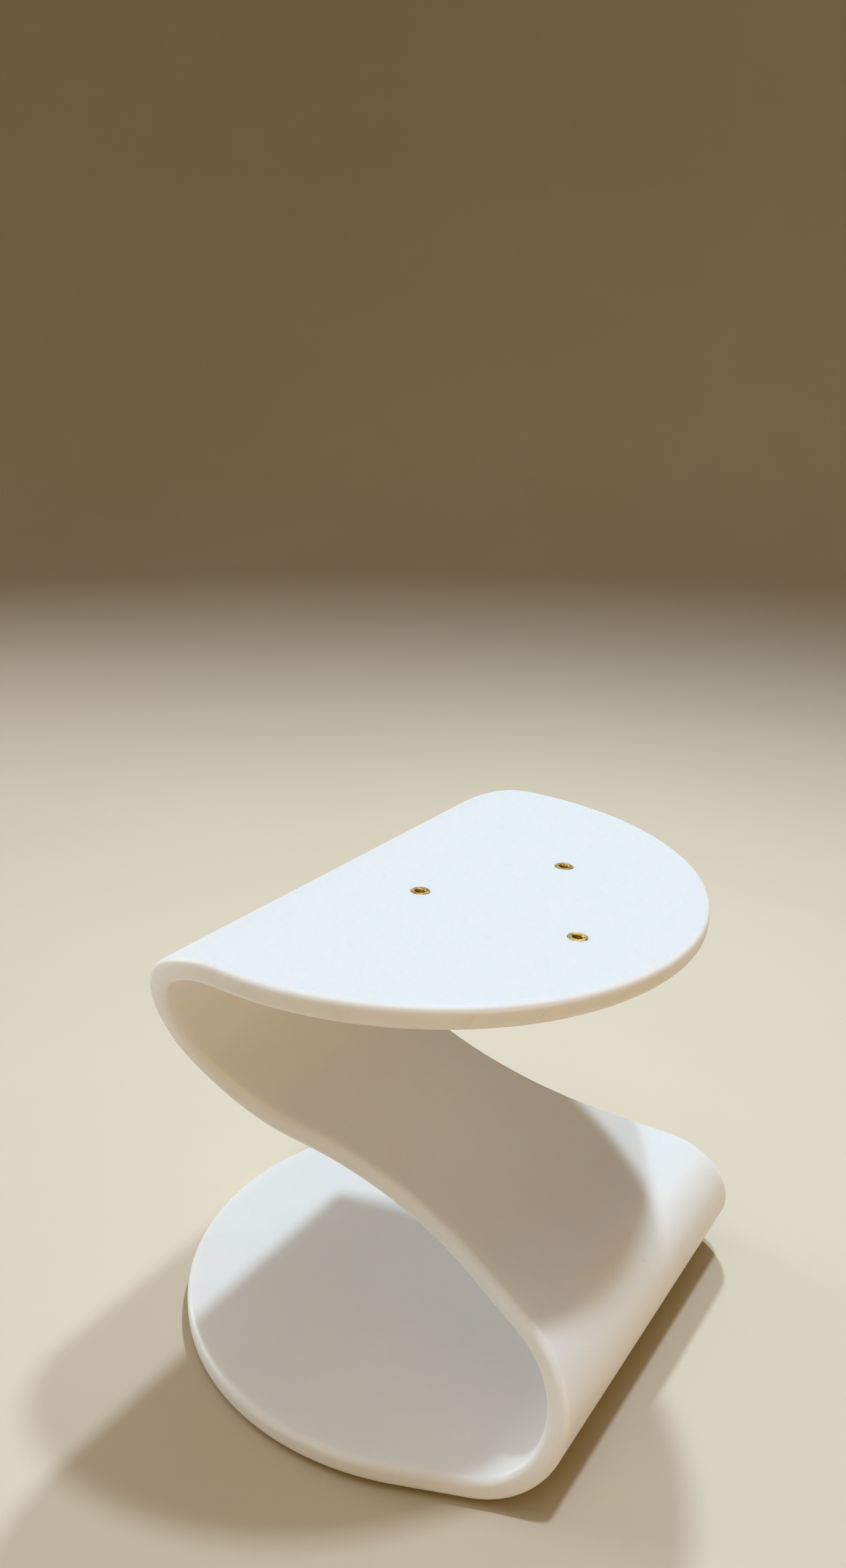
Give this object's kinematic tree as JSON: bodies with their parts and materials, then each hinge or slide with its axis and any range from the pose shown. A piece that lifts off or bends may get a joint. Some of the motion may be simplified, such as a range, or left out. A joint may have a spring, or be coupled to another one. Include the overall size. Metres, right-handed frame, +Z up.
{
  "type": "display plinth",
  "caption": "Free-standing Z-shaped display plinth: one bent white slab with a round display plate over a round base plate, with threaded inserts and rubber foot pads.",
  "frame": {"origin": "on the floor, under the centre of the round base plate and of its anchor inserts", "axes": "+Z up; +X from the upper bend's side towards the lower bend and the display plate's free edge; the XZ plane is the plane of symmetry"},
  "size_m": [0.2754, 0.3, 0.253],
  "materials": {
    "solid_surface": "white solid surface, satin polish",
    "insert_brass": "turned brass",
    "pad_rubber": "matt grey rubber"
  },
  "bodies": {
    "root": {"ribbon_slab": "solid_surface", "display_inserts": "insert_brass", "anchor_inserts": "insert_brass", "foot_pad_bend_front": "pad_rubber", "foot_pad_bend_back": "pad_rubber", "foot_pad_tip_front": "pad_rubber", "foot_pad_tip_back": "pad_rubber"}
  },
  "joints": []
}
